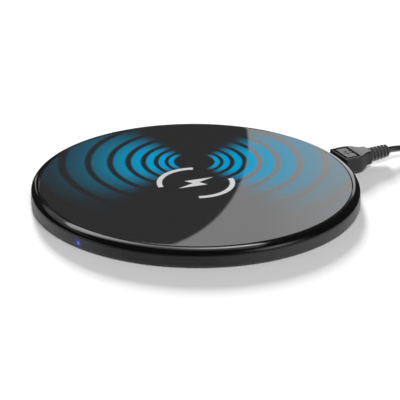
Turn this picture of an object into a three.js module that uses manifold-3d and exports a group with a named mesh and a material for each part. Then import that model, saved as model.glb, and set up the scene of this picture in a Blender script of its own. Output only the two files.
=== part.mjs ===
// Round wireless charging pad with its detachable micro USB lead, in millimetres.
// +Z is up and the pad stands on z = 0. Its axis is the Z axis, and its power port faces +Y.
import * as THREE from 'three';
import { mergeVertices } from 'three/addons/utils/BufferGeometryUtils.js';
import Module from 'manifold-3d';

const wasm = await Module();
wasm.setup();

// ---------------------------------------------------------------- driving dimensions

// Pad, heights above the table
const PAD_R = 50; // outside of the side wall
const TRAY_UNDER = 0.6; // the feet lift the tray this far
const TRAY_FLOOR = 1.6; // inside floor of the tray
const TRAY_TOP = 3.75;
const SEAM = 0.15; // parting line between tray and ring
const RING_UNDER = TRAY_TOP + SEAM;
const PLATE_TOP = 5.9;
const PLATE_THICK = 1.1;
const PLATE_R = 47.3;
const PLATE_GAP = 0.25; // groove between the plate and the ring
const WALL = 1.8;
const EDGE = 0.6; // bottom edge of the side wall
const SKIRT_R = 48; // outside of the ring's skirt, inside the tray wall
const SKIRT_WALL = 1;
const SKIRT_LOW = 2.4;
const LEDGE_R = 43.5; // inner edge of the ledge that carries the plate
const LEDGE_LOW = 3.95;
const LEDGE_TOP = 4.55;

// Screws, bosses and feet, four of each on one circle
const CORNERS = [45, 135, 225, 315]; // degrees about Z
const BOSS_RING_R = 44.5;
const BOSS_R = 2.2;
const BOSS_LOW = 2.2;
const SCREW_HOLE_R = 1;
const SCREW_R = 0.85;
const HEAD_R = 1.7;
const HEAD_POCKET_R = 1.9;
const HEAD_POCKET_TOP = 1.5;
const FOOT_R = 4.2;
const FOOT_POCKET_R = 4.5;
const FOOT_POCKET_TOP = 1;

// Electronics
const BOARD_IN = 27;
const BOARD_OUT = 41.5;
const BOARD_LOW = 2.1;
const BOARD_TOP = 2.9;
const COIL_IN = 10.2;
const COIL_OUT = 21.5;
const COIL_LOW = 2.95;
const COIL_TOP = 4.05;
const SHIELD_R = 25.4;
const SHIELD_LOW = 1.65;
const SHIELD_TOP = 2.75;
const LIGHT_ANGLE = -72.6; // degrees about Z, towards the front
const LIGHT_Z = 1.65;
const LIGHT_R = 0.55;

// Micro USB port and plug, on the +Y side
const PORT_Z = 2.87;
const PORT_MOUTH = 48.9; // y of the socket's open end
const PORT_BACK = 42.6;
const SOCKET = { wide: 7.4, high: 2.4, skin: 0.22 };
const PLUG = { wide: 6.7, high: 1.7, skin: 0.22 };
const PLUG_TIP = 44.3;
const GRIP_START = 50.35;
const GRIP_END = 61.4;
const GRIP_HALF = 5.2; // half of the grip's width
const GRIP_THICK = 5.2;
const RELIEF_END = 68.3;
const RELIEF_R = 2.35;

// Lead
const CORD_R = 1;
const TURN_OUT = 15.2; // centre of the outermost turn of the wound lead
const TURN_IN = 9.2;
const LAYERS = 4;
const COIL_X = 17.2; // centre of the wound lead
const COIL_Y = 88;
const TIE_ANGLE = -40;
// The lead's free stretches: from the small plug to the winding, and from there to the large plug.
const LEAD_ROUTE = [
  [0, 68.6, 2.87], [0, 71.4, 2.82], [0.05, 74.5, 2.55], [0.15, 77, 2.05],
  [0.35, 79.5, 1.5], [0.7, 82.1, 1.12],
];
const TAIL_ROUTE = [
  [8.1, 103.1, 5.7], [10.6, 107, 4.4], [13.7, 110.7, 3.1], [17.8, 113.9, 2], [22.7, 116, 1.3],
  [28, 116.6, 1], [33.2, 115.9, 1], [38.1, 113.9, 1.4], [42.2, 111.5, 2.5], [45.7, 109.5, 3.55],
  [48.5, 108, 3.93], [50.4, 106.95, 3.95],
];

// Large USB plug on the lead's far end, drawn along its own +Y
const FAR_PLUG = { x: 50.66, y: 106.81, z: 3.95, heading: -28.5 };
const FAR_RELIEF = 9;
const FAR_GRIP = { long: 24, wide: 15.6, high: 7.8 };
const FAR_SHELL = { wide: 12, high: 4.5, skin: 0.3, long: 12, seat: 3 };

const FINE = 48; // facets round the pad
const MEDIUM = 24;
const SMALL = 12;

// ---------------------------------------------------------------- materials

const finish = (color, roughness, metalness = 0) =>
  new THREE.MeshStandardMaterial({ color, roughness, metalness });

const glossBlack = finish(0x050506, 0.06);
const mattBlack = finish(0x1b1b1c, 0.55);
const rubberBlack = finish(0x141414, 0.8);
const gripBlack = finish(0x222223, 0.5);
const foam = finish(0x1a1a1a, 0.9);
const boardGreen = finish(0x0d4a2a, 0.4);
const copper = finish(0xb8693a, 0.35, 1);
const ferrite = finish(0x3b3a3c, 0.6);
const chipBlack = finish(0x121213, 0.5);
const capTan = finish(0x9a7a52, 0.5);
const steel = finish(0xb9bbbf, 0.28, 1);
const gold = finish(0xd9ab4e, 0.25, 1);
const insulator = finish(0x19191a, 0.45);
const litBlue = finish(0x3a46ff, 0.2);
const diffuser = finish(0xcfd6ff, 0.25);

// ---------------------------------------------------------------- shape helpers

const radians = THREE.MathUtils.degToRad;

// A three.js geometry as a solid that can be joined and cut.
function solid(geometry) {
  const bare = geometry.index ? geometry.toNonIndexed() : geometry.clone();
  bare.deleteAttribute('normal');
  bare.deleteAttribute('uv');
  const merged = mergeVertices(bare, 1e-4);
  return new wasm.Manifold(new wasm.Mesh({
    numProp: 3,
    vertProperties: merged.attributes.position.array,
    triVerts: new Uint32Array(merged.index.array),
  }));
}

function geometryOf(made) {
  const { vertProperties, triVerts } = made.getMesh();
  const geometry = new THREE.BufferGeometry();
  geometry.setAttribute('position', new THREE.BufferAttribute(vertProperties, 3));
  geometry.setIndex(new THREE.BufferAttribute(triVerts, 1));
  geometry.computeVertexNormals();
  return geometry;
}

const join = (...parts) => parts.map(solid).reduce((all, part) => all.add(part));
const cut = (body, ...tools) => tools.map(solid).reduce((left, tool) => left.subtract(tool), body);

// A profile of [radius, height] points turned about Z. It runs anticlockwise: out, up and back in.
function turned(profile, facets = FINE) {
  const points = profile.map(([r, z]) => new THREE.Vector2(r, z));
  return new THREE.LatheGeometry(points, facets).rotateX(Math.PI / 2);
}

// A closed ring of that section, turned about Z.
const ring = (profile, facets = FINE) => turned([...profile, profile[0]], facets);

// The same for a piece that is round about Y, with [radius, y] points.
function turnedAlongY(profile, facets = SMALL) {
  const points = profile.map(([r, y]) => new THREE.Vector2(r, y));
  return new THREE.LatheGeometry(points, facets);
}

function disc(radius, low, high, facets = MEDIUM) {
  return new THREE.CylinderGeometry(radius, radius, high - low, facets)
    .rotateX(Math.PI / 2)
    .translate(0, 0, (low + high) / 2);
}

function block(x0, x1, y0, y1, z0, z1) {
  return new THREE.BoxGeometry(x1 - x0, y1 - y0, z1 - z0)
    .translate((x0 + x1) / 2, (y0 + y1) / 2, (z0 + z1) / 2);
}

// A flat outline in X and Y, raised from low to high.
function slab(shape, low, high) {
  return new THREE.ExtrudeGeometry(shape, { depth: high - low, bevelEnabled: false, curveSegments: 6 })
    .translate(0, 0, low);
}

// An outline in X and Z, drawn along Y.
function bar(shape, from, to) {
  return new THREE.ExtrudeGeometry(shape, { depth: to - from, bevelEnabled: false, curveSegments: 4 })
    .rotateX(Math.PI / 2)
    .translate(0, to, 0);
}

// An outline in Y and Z, drawn across X from -half to half.
function crosswise(shape, half) {
  const turn = new THREE.Matrix4().makeBasis(
    new THREE.Vector3(0, 1, 0), new THREE.Vector3(0, 0, 1), new THREE.Vector3(1, 0, 0),
  );
  return new THREE.ExtrudeGeometry(shape, { depth: 2 * half, bevelEnabled: false, curveSegments: 8 })
    .applyMatrix4(turn)
    .translate(-half, 0, 0);
}

function roundedRectangle(wide, high, corner, centreY = 0) {
  const x = wide / 2;
  const y = high / 2;
  const shape = new THREE.Shape();
  shape.moveTo(-x + corner, centreY - y);
  shape.lineTo(x - corner, centreY - y);
  shape.quadraticCurveTo(x, centreY - y, x, centreY - y + corner);
  shape.lineTo(x, centreY + y - corner);
  shape.quadraticCurveTo(x, centreY + y, x - corner, centreY + y);
  shape.lineTo(-x + corner, centreY + y);
  shape.quadraticCurveTo(-x, centreY + y, -x, centreY + y - corner);
  shape.lineTo(-x, centreY - y + corner);
  shape.quadraticCurveTo(-x, centreY - y, -x + corner, centreY - y);
  return shape;
}

// The micro USB section: a flat slot with its two lower corners cut off.
function microSection(wide, high, z = PORT_Z) {
  const x = wide / 2;
  const y = high / 2;
  const slant = high * 0.45;
  return new THREE.Shape([
    new THREE.Vector2(-x + slant, z - y), new THREE.Vector2(x - slant, z - y),
    new THREE.Vector2(x, z - y + slant), new THREE.Vector2(x, z + y),
    new THREE.Vector2(-x, z + y), new THREE.Vector2(-x, z - y + slant),
  ]);
}

// A round cord along hand-chosen points.
function cord(route, radius, steps, facets = 8) {
  const path = new THREE.CatmullRomCurve3(route.map((p) => new THREE.Vector3(...p)));
  const section = new THREE.Shape().absarc(0, 0, radius, 0, 2 * Math.PI);
  const points = section.getSpacedPoints(facets).slice(0, facets);
  return new THREE.ExtrudeGeometry(new THREE.Shape(points), { steps, extrudePath: path });
}

const polar = (radius, degrees) => [
  radius * Math.cos(radians(degrees)),
  radius * Math.sin(radians(degrees)),
];

// ---------------------------------------------------------------- the pad's shells

const pad = new THREE.Group();

function add(group, name, made, material) {
  const geometry = made.isBufferGeometry ? made : geometryOf(made);
  const mesh = new THREE.Mesh(geometry, material);
  mesh.name = name;
  group.add(mesh);
  return mesh;
}

// The opening that the socket's mouth stands in.
const portCut = (low, high) => block(-4.2, 4.2, PORT_BACK - 0.4, PAD_R + 1, low, high);

function tray() {
  const inside = PAD_R - WALL;
  let made = join(
    turned([
      [0, TRAY_UNDER], [PAD_R - EDGE, TRAY_UNDER], [PAD_R - 0.18, TRAY_UNDER + 0.18],
      [PAD_R, TRAY_UNDER + EDGE], [PAD_R, TRAY_TOP], [inside, TRAY_TOP],
      [inside, TRAY_FLOOR], [0, TRAY_FLOOR],
    ]),
    // low rib that centres the shield
    ring([[SHIELD_R + 0.2, TRAY_FLOOR - 0.1], [SHIELD_R + 0.9, TRAY_FLOOR - 0.1],
      [SHIELD_R + 0.9, 2.5], [SHIELD_R + 0.2, 2.5]]),
    // pads under the bosses
    ...CORNERS.map((a) => disc(BOSS_R, TRAY_FLOOR - 0.1, BOSS_LOW - 0.1, SMALL)
      .translate(...polar(BOSS_RING_R, a), 0)),
    // posts under the board, with a pin each
    ...CORNERS.map((a) => disc(1.6, TRAY_FLOOR - 0.1, BOARD_LOW - 0.02, SMALL)
      .translate(...polar(38.5, a + 15), 0)),
    ...CORNERS.map((a) => disc(0.8, TRAY_FLOOR, BOARD_TOP + 0.4, 12)
      .translate(...polar(38.5, a + 15), 0)),
  );
  for (const a of CORNERS) {
    const at = polar(BOSS_RING_R, a);
    made = cut(
      made,
      disc(FOOT_POCKET_R, 0, FOOT_POCKET_TOP, MEDIUM).translate(...at, 0),
      disc(HEAD_POCKET_R, 0.5, HEAD_POCKET_TOP, SMALL).translate(...at, 0),
      disc(SCREW_HOLE_R, 0.5, 3, SMALL).translate(...at, 0),
    );
  }
  const lightHole = new THREE.CylinderGeometry(LIGHT_R + 0.08, LIGHT_R + 0.08, 6, SMALL)
    .translate(0, PAD_R - 2, LIGHT_Z).rotateZ(radians(LIGHT_ANGLE - 90));
  const lightPocket = block(-1.5, 1.5, 37, PAD_R - WALL, 1.02, TRAY_FLOOR + 0.2)
    .rotateZ(radians(LIGHT_ANGLE - 90));
  return cut(made, portCut(1.5, TRAY_TOP + 1), lightHole, lightPocket);
}

// The glossy ring: a rounded shoulder outside, a ledge for the plate and a skirt inside the tray.
function shoulderRing() {
  const recess = PLATE_R + PLATE_GAP;
  const shoulder = new THREE.QuadraticBezierCurve(
    new THREE.Vector2(PAD_R, RING_UNDER + 0.2),
    new THREE.Vector2(PAD_R - 0.35, PLATE_TOP - 0.35),
    new THREE.Vector2(recess + 0.12, PLATE_TOP - 0.1),
  );
  let made = solid(ring([
    [PAD_R, RING_UNDER], ...shoulder.getPoints(4).map((p) => [p.x, p.y]),
    [recess, PLATE_TOP - 0.22], [recess, LEDGE_TOP], [LEDGE_R, LEDGE_TOP], [LEDGE_R, LEDGE_LOW],
    [SKIRT_R - SKIRT_WALL, LEDGE_LOW], [SKIRT_R - SKIRT_WALL, SKIRT_LOW], [SKIRT_R, SKIRT_LOW],
    [SKIRT_R, RING_UNDER],
  ]));
  for (const a of CORNERS) {
    const at = polar(BOSS_RING_R, a);
    made = made.add(solid(disc(BOSS_R, BOSS_LOW, LEDGE_LOW + 0.3, SMALL).translate(...at, 0)));
    made = cut(made, disc(SCREW_HOLE_R, BOSS_LOW - 1, LEDGE_LOW + 0.2, SMALL).translate(...at, 0));
  }
  return cut(made, portCut(1, 4.2));
}

const plate = () => turned([
  [0, PLATE_TOP - PLATE_THICK], [PLATE_R, PLATE_TOP - PLATE_THICK], [PLATE_R, PLATE_TOP - 0.22],
  [PLATE_R - 0.22, PLATE_TOP], [0, PLATE_TOP],
]);

const plateTape = () => ring([
  [LEDGE_R + 0.6, LEDGE_TOP + 0.01], [PLATE_R - 0.4, LEDGE_TOP + 0.01],
  [PLATE_R - 0.4, PLATE_TOP - PLATE_THICK - 0.01], [LEDGE_R + 0.6, PLATE_TOP - PLATE_THICK - 0.01],
]);

function foot() {
  return turned([[0, 0], [FOOT_R - 0.35, 0], [FOOT_R, 0.35], [FOOT_R, 0.95], [0, 0.95]], MEDIUM);
}

// Pan head below, thread upwards, with a cross recess in the head.
function screw() {
  const top = LEDGE_LOW;
  const body = solid(turned([
    [0, 1.03], [HEAD_R - 0.2, 1.03], [HEAD_R, 1.2], [HEAD_R, 1.47], [SCREW_R, 1.47],
    [SCREW_R, top - 0.4], [0, top],
  ], SMALL));
  return cut(body, block(-0.95, 0.95, -0.2, 0.2, 0.9, 1.3), block(-0.2, 0.2, -0.95, 0.95, 0.9, 1.3));
}

add(pad, 'base_tray', tray(), mattBlack);
add(pad, 'shoulder_ring', shoulderRing(), glossBlack);
add(pad, 'top_plate', plate(), glossBlack);
add(pad, 'plate_tape', plateTape(), foam);
CORNERS.forEach((angle, i) => {
  const at = polar(BOSS_RING_R, angle);
  add(pad, `foot_${i + 1}`, foot(), rubberBlack).position.set(...at, 0);
  add(pad, `case_screw_${i + 1}`, screw(), steel).position.set(...at, 0);
});

// ---------------------------------------------------------------- the electronics

function board() {
  const made = join(disc(BOARD_OUT, BOARD_LOW, BOARD_TOP, FINE), block(-6, 6, 40, 46.3, BOARD_LOW, BOARD_TOP));
  return cut(
    made,
    disc(BOARD_IN, 0, 5, FINE),
    block(-4, 4, PORT_BACK - 0.3, 48, 0, 5),
    ...CORNERS.map((a) => disc(1, 0, 5, 12).translate(...polar(38.5, a + 15), 0)),
  );
}

// A chip with chamfered top edges and its leads as one comb on each long side.
function chip(wide, long, high, leads = 0) {
  const parts = [
    block(-wide / 2, wide / 2, -long / 2, long / 2, 0.08, high - 0.12),
    block(-wide / 2 + 0.12, wide / 2 - 0.12, -long / 2 + 0.12, long / 2 - 0.12, high - 0.2, high),
  ];
  const pitch = long / (leads + 1);
  for (let i = 1; i <= leads; i++) {
    const y = -long / 2 + i * pitch;
    parts.push(block(-wide / 2 - 0.7, wide / 2 + 0.7, y - 0.2, y + 0.2, 0.02, 0.25));
  }
  return join(...parts);
}

function onBoard(name, made, material, radius, angle, spin = angle) {
  const mesh = add(pad, name, made, material);
  mesh.position.set(...polar(radius, angle), BOARD_TOP + 0.02);
  mesh.rotation.z = radians(spin);
}

add(pad, 'circuit_board', board(), boardGreen);
add(pad, 'ferrite_shield', turned([
  [0, SHIELD_LOW], [SHIELD_R - 0.2, SHIELD_LOW], [SHIELD_R, SHIELD_LOW + 0.2],
  [SHIELD_R, SHIELD_TOP - 0.2], [SHIELD_R - 0.2, SHIELD_TOP], [0, SHIELD_TOP],
], MEDIUM), ferrite);
add(pad, 'coil_film', ring([
  [COIL_IN - 0.4, SHIELD_TOP + 0.02], [COIL_OUT + 0.6, SHIELD_TOP + 0.02],
  [COIL_OUT + 0.6, COIL_LOW - 0.03], [COIL_IN - 0.4, COIL_LOW - 0.03],
], MEDIUM), foam);
add(pad, 'charging_coil', ring([
  [COIL_IN, COIL_LOW], [COIL_OUT, COIL_LOW], [COIL_OUT, COIL_TOP], [COIL_IN, COIL_TOP],
], MEDIUM), copper);
// One lead rises from the inner turn and crosses over the winding; the other leaves the outer turn.
add(pad, 'coil_lead_inner', cord([
  [8.9, 0, 3.4], [9.3, 0, 4.2], [11, 0, 4.43], [16, 0, 4.43], [21.5, 0, 4.43], [24.5, 0, 4.3],
  [27.3, 0, 3.7], [29.5, 0, 3.28], [31, 0, 3.25],
], 0.28, 16), copper);
add(pad, 'coil_lead_outer', cord([
  [22, -3.4, 3.5], [23.5, -4, 3.55], [26, -4.4, 3.6], [28.5, -4.4, 3.3], [31, -4.4, 3.25],
], 0.28, 10), copper);

onBoard('controller_chip', chip(6, 6, 0.9), chipBlack, 34.5, 62);
onBoard('bridge_chip_1', chip(3.9, 4.9, 1.4, 4), chipBlack, 34, 12);
onBoard('bridge_chip_2', chip(3.9, 4.9, 1.4, 4), chipBlack, 34, 28);
[-24, -38, -92, -106].forEach((angle, i) => {
  onBoard(`resonance_capacitor_${i + 1}`, chip(5, 5.7, 1.7), capTan, 34, angle);
});
onBoard('input_choke', join(
  disc(2.9, 0.3, 1.3, MEDIUM), block(-3, 3, -3, 3, 0.02, 0.4), block(-3, 3, -3, 3, 1.2, 1.6),
), chipBlack, 34.5, 118);

// Side-firing lamp under the board's front edge, and the clear pipe that takes its light outside.
const lamp = add(pad, 'status_lamp', join(
  block(-0.9, 0.9, 39.2, 40.6, 1.1, BOARD_LOW - 0.02), block(-0.6, 0.6, 40.5, 40.9, 1.2, 2),
), litBlue);
lamp.rotation.z = radians(LIGHT_ANGLE - 90);
const pipe = add(pad, 'status_light_pipe', turnedAlongY([
  [0, 41.3], [LIGHT_R - 0.1, 41.3], [LIGHT_R - 0.1, 46.9],
  [LIGHT_R, 47.3], [LIGHT_R, 49.7], [LIGHT_R - 0.25, 49.93], [0, 49.98],
], 12), diffuser);
pipe.position.z = LIGHT_Z;
pipe.rotation.z = radians(LIGHT_ANGLE - 90);

// ---------------------------------------------------------------- the socket and the small plug

function socketShell() {
  const { wide, high, skin } = SOCKET;
  const wings = [[-5.3, -3.6], [3.6, 5.3]].flatMap(([x0, x1]) => [
    block(x0, x1, 43, 44.2, BOARD_TOP + 0.03, BOARD_TOP + 0.25),
    block(x0, x1, 45, 46.1, BOARD_TOP + 0.03, BOARD_TOP + 0.25),
  ]);
  return cut(
    join(bar(microSection(wide, high), PORT_BACK, PORT_MOUTH), ...wings),
    bar(microSection(wide - 2 * skin, high - 2 * skin), PORT_BACK + skin, PORT_MOUTH + 1),
  );
}

const socketTongue = () => join(
  bar(microSection(SOCKET.wide - 0.6, SOCKET.high - 0.6), PORT_BACK + 0.26, 43.9),
  block(-1.8, 1.8, 43.8, 48.2, PORT_Z - 0.42, PORT_Z),
);

function plugShell() {
  const { wide, high, skin } = PLUG;
  return cut(
    solid(bar(microSection(wide, high), PLUG_TIP, GRIP_START + 1.6)),
    bar(microSection(wide - 2 * skin, high - 2 * skin), PLUG_TIP - 1, GRIP_START + 3),
  );
}

// The plug's contact block, above the socket's tongue, with its root in the grip.
const plugInsert = () => join(
  block(-2.6, 2.6, PLUG_TIP + 0.3, GRIP_START + 0.5, PORT_Z + 0.08, PORT_Z + 0.55),
  block(-2.3, 2.3, 49.3, GRIP_START + 1.6, PORT_Z - 0.5, PORT_Z + 0.55),
);

// Grip: its plan and its side outline, each drawn through and crossed.
function plugGrip() {
  const plan = new THREE.Shape();
  plan.moveTo(-GRIP_HALF, GRIP_START);
  plan.lineTo(GRIP_HALF, GRIP_START);
  plan.lineTo(GRIP_HALF, 55);
  plan.bezierCurveTo(GRIP_HALF, 58.1, 2.6, 58.1, 2.45, GRIP_END);
  plan.lineTo(-2.45, GRIP_END);
  plan.bezierCurveTo(-2.6, 58.1, -GRIP_HALF, 58.1, -GRIP_HALF, 55);
  plan.closePath();
  const half = GRIP_THICK / 2;
  const side = new THREE.Shape();
  side.moveTo(GRIP_START, PORT_Z - half);
  side.lineTo(59, PORT_Z - half);
  side.lineTo(GRIP_END, PORT_Z - 2.3);
  side.lineTo(GRIP_END, PORT_Z + 2.3);
  side.lineTo(58.5, PORT_Z + half);
  side.lineTo(GRIP_START, PORT_Z + half);
  side.closePath();
  const body = solid(slab(plan, 0, 6)).intersect(solid(crosswise(side, 6)));
  return cut(body, bar(microSection(PLUG.wide + 0.1, PLUG.high + 0.1), GRIP_START - 1, GRIP_START + 1.7));
}

// A tapered sleeve with slots between its ribs, round about Y.
function strainRelief(from, to, wide, narrow, ribs, facets = SMALL) {
  const pitch = (to - from) / (ribs + 0.5);
  const slot = pitch * 0.48;
  const radiusAt = (y) => wide + (narrow - wide) * (y - from) / (to - from);
  const profile = [[0, from]];
  for (let i = 0; i < ribs; i++) {
    const y = from + i * pitch;
    profile.push([radiusAt(y), y], [radiusAt(y), y + pitch - slot]);
    profile.push([radiusAt(y) * 0.7, y + pitch - slot], [radiusAt(y) * 0.7, y + pitch]);
  }
  profile.push([narrow, from + ribs * pitch], [narrow, to - 0.3], [narrow - 0.3, to], [0, to]);
  return turnedAlongY(profile, facets);
}

add(pad, 'port_shell', socketShell(), steel);
add(pad, 'port_tongue', socketTongue(), insulator);

const lead = new THREE.Group();
add(lead, 'micro_plug_shell', plugShell(), steel);
add(lead, 'micro_plug_insert', plugInsert(), insulator);
add(lead, 'micro_plug_grip', plugGrip(), gripBlack);
add(lead, 'micro_strain_relief', strainRelief(GRIP_END + 0.02, RELIEF_END, RELIEF_R, 2, 5), rubberBlack)
  .position.z = PORT_Z;

// ---------------------------------------------------------------- the lead and its winding

const windingTop = 2 * CORD_R * LAYERS;
const windingIn = TURN_IN - CORD_R;
const windingOut = TURN_OUT + CORD_R;

// The wound lead's outer shape, with room under it for the tie.
function winding() {
  const corner = 0.6;
  const made = solid(ring([
    [windingIn, corner], [windingIn + corner, 0], [windingOut - corner, 0], [windingOut, corner],
    [windingOut, windingTop - corner], [windingOut - corner, windingTop],
    [windingIn + corner, windingTop], [windingIn, windingTop - corner],
  ], MEDIUM));
  return cut(made, block(windingIn - 2, windingOut + 2, -2.4, 2.4, -1, 0.62).rotateZ(radians(TIE_ANGLE)));
}

// A flat strap looped round the winding's section.
function tie() {
  const made = cut(
    solid(block(windingIn - 0.9, windingOut + 0.5, -2, 2, 0.05, windingTop + 0.5)),
    block(windingIn - 0.45, windingOut + 0.1, -3, 3, 0.5, windingTop + 0.1),
  );
  return geometryOf(made).rotateZ(radians(TIE_ANGLE));
}

add(lead, 'lead_near', cord(LEAD_ROUTE, CORD_R, 6), rubberBlack);
add(lead, 'lead_winding', winding(), rubberBlack).position.set(COIL_X, COIL_Y, 0);
add(lead, 'lead_tie', tie(), mattBlack).position.set(COIL_X, COIL_Y, 0);
add(lead, 'lead_far', cord(TAIL_ROUTE, CORD_R, 24), rubberBlack);

// ---------------------------------------------------------------- the large plug

const farPlug = new THREE.Group();
farPlug.position.set(FAR_PLUG.x, FAR_PLUG.y, FAR_PLUG.z);
farPlug.rotation.z = radians(FAR_PLUG.heading - 90);
lead.add(farPlug);

function farGrip() {
  const { long, wide, high } = FAR_GRIP;
  const end = FAR_RELIEF + long;
  const plan = new THREE.Shape();
  plan.moveTo(-3.6, FAR_RELIEF + 0.02);
  plan.lineTo(3.6, FAR_RELIEF + 0.02);
  plan.bezierCurveTo(4, FAR_RELIEF + 3.5, wide / 2, FAR_RELIEF + 3, wide / 2, FAR_RELIEF + 8);
  plan.lineTo(wide / 2, end);
  plan.lineTo(-wide / 2, end);
  plan.lineTo(-wide / 2, FAR_RELIEF + 8);
  plan.bezierCurveTo(-wide / 2, FAR_RELIEF + 3, -4, FAR_RELIEF + 3.5, -3.6, FAR_RELIEF + 0.02);
  const side = new THREE.Shape();
  side.moveTo(FAR_RELIEF, -3.3);
  side.lineTo(FAR_RELIEF + 4, -high / 2);
  side.lineTo(end, -high / 2);
  side.lineTo(end, high / 2);
  side.lineTo(FAR_RELIEF + 4, high / 2);
  side.lineTo(FAR_RELIEF, 3.3);
  side.closePath();
  const body = solid(slab(plan, -high, high)).intersect(solid(crosswise(side, wide)));
  const seat = roundedRectangle(FAR_SHELL.wide + 0.1, FAR_SHELL.high + 0.1, 0.4);
  return cut(body, bar(seat, end - FAR_SHELL.seat - 0.1, end + 1));
}

function farShell() {
  const { wide, high, skin, long, seat } = FAR_SHELL;
  const start = FAR_RELIEF + FAR_GRIP.long - seat;
  const end = start + seat + long;
  const windows = [-1, 1].map((side) => block(
    side * 2.9 - 1.25, side * 2.9 + 1.25, end - 7.2, end - 5.2, 0, high,
  ));
  return cut(
    solid(bar(roundedRectangle(wide, high, 0.4), start, end)),
    bar(roundedRectangle(wide - 2 * skin, high - 2 * skin, 0.2), start - 1, end + 1),
    ...windows,
  );
}

function farTongue() {
  const start = FAR_RELIEF + FAR_GRIP.long - FAR_SHELL.seat + 0.1;
  const end = FAR_RELIEF + FAR_GRIP.long + FAR_SHELL.long;
  return join(
    block(-5.6, 5.6, start, start + 4.5, -1.9, 1.9),
    block(-5.55, 5.55, start + 4, end - 0.6, -1.9, 0),
  );
}

add(farPlug, 'usb_strain_relief', strainRelief(0, FAR_RELIEF, 2.4, 3.3, 5), rubberBlack);
add(farPlug, 'usb_plug_grip', farGrip(), gripBlack);
add(farPlug, 'usb_plug_shell', farShell(), steel);
add(farPlug, 'usb_plug_tongue', farTongue(), insulator);
[-3.5, -1, 1, 3.5].forEach((x, i) => {
  const end = FAR_RELIEF + FAR_GRIP.long + FAR_SHELL.long - 1.4;
  add(farPlug, `usb_contact_${i + 1}`, block(x - 0.5, x + 0.5, end - 7.4, end, 0.04, 0.16), gold);
});

const model = new THREE.Group();
model.add(pad, lead);

export default model;
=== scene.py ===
"""Looks of a slim round wireless charging pad and its detachable USB lead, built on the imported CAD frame.

Metres, +Z up. The pad stands on z = 0 about the Z axis, and its power port faces +Y.
"""

import math
from contextlib import contextmanager

import bmesh
import bpy
from mathutils import Matrix, Vector


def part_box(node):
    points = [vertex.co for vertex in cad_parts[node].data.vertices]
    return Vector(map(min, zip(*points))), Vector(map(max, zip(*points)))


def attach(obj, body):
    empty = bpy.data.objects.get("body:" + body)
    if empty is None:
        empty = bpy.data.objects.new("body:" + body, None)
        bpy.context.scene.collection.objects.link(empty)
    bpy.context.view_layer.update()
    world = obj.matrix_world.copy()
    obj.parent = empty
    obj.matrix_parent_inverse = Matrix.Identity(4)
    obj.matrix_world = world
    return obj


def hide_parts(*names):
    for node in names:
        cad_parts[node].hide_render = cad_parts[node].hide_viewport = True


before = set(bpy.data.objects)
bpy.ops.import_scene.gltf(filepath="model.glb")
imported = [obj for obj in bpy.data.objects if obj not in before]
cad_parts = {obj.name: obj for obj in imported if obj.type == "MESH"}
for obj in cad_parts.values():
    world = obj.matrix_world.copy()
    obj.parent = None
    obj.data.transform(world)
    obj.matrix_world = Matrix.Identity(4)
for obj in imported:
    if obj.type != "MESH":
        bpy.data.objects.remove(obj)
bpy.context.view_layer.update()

MM = 0.001


def low(name):
    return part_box(name)[0]


def high(name):
    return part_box(name)[1]


def node(name):
    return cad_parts[name]


# ---------------------------------------------------------------- sizes read off the frame

PAD_RADIUS = high("base_tray").x
TRAY_UNDER = low("base_tray").z
TRAY_TOP = high("base_tray").z
PLATE_RADIUS = high("top_plate").x
PLATE_TOP = high("top_plate").z
PLATE_UNDER = low("top_plate").z
SHOULDER_TOP = high("shoulder_ring").z
SKIRT_UNDER = low("shoulder_ring").z
GRIP_LOW, GRIP_HIGH = low("micro_plug_grip"), high("micro_plug_grip")
PORT_Z = (GRIP_LOW.z + GRIP_HIGH.z) / 2
PORT_HALF = 4.2 * MM  # half the width of the port's opening
PORT_BACK = 42.2 * MM
PAST_THE_RIM = 51 * MM  # where cutters that come through the side wall end
CORNERS = [math.radians(degrees) for degrees in (45, 135, 225, 315)]
CORNER_RING = 44.5 * MM  # circle that the feet and case screws are on
LIGHT_ANGLE = math.radians(-72.6)  # the status light's place in the side wall
LIGHT_Z = (low("status_light_pipe").z + high("status_light_pipe").z) / 2

# ---------------------------------------------------------------- camera

VIEW_AZIMUTH = math.radians(61)
VIEW_ELEVATION = math.radians(23.27)
VIEW_ROLL = math.radians(0.42)
VIEW_DISTANCE = 1.0
VIEW_LENS = 296.2
AIM_RIGHT = 1.285 * MM  # the camera aims this far to the right of the pad's axis
AIM_DOWN = 0.36 * MM  # and this far below the tray's underside

view_back = Vector((
    math.sin(VIEW_AZIMUTH) * math.cos(VIEW_ELEVATION),
    -math.cos(VIEW_AZIMUTH) * math.cos(VIEW_ELEVATION),
    math.sin(VIEW_ELEVATION),
))
view_right = Vector((math.cos(VIEW_AZIMUTH), math.sin(VIEW_AZIMUTH), 0))
view_up = view_back.cross(view_right)
view_away = Vector((-math.sin(VIEW_AZIMUTH), math.cos(VIEW_AZIMUTH), 0))  # level, from the camera


def add_camera():
    aim = Vector((0, 0, TRAY_UNDER)) + view_right * AIM_RIGHT - view_up * AIM_DOWN
    bpy.ops.object.camera_add(location=aim + view_back * VIEW_DISTANCE)
    camera = bpy.context.object
    right = view_right * math.cos(VIEW_ROLL) + view_up * math.sin(VIEW_ROLL)
    up = view_back.cross(right)
    camera.rotation_euler = Matrix((right, up, view_back)).transposed().to_euler()
    camera.data.lens = VIEW_LENS
    camera.data.sensor_width = 36
    camera.data.clip_start = 0.05
    camera.data.clip_end = 20
    camera.data.dof.use_dof = False
    bpy.context.scene.camera = camera


add_camera()

# ---------------------------------------------------------------- modelling by hand


def take(piece):
    """Makes one piece the only one selected."""
    bpy.ops.object.select_all(action="DESELECT")
    piece.select_set(True)
    bpy.context.view_layer.objects.active = piece


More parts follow.
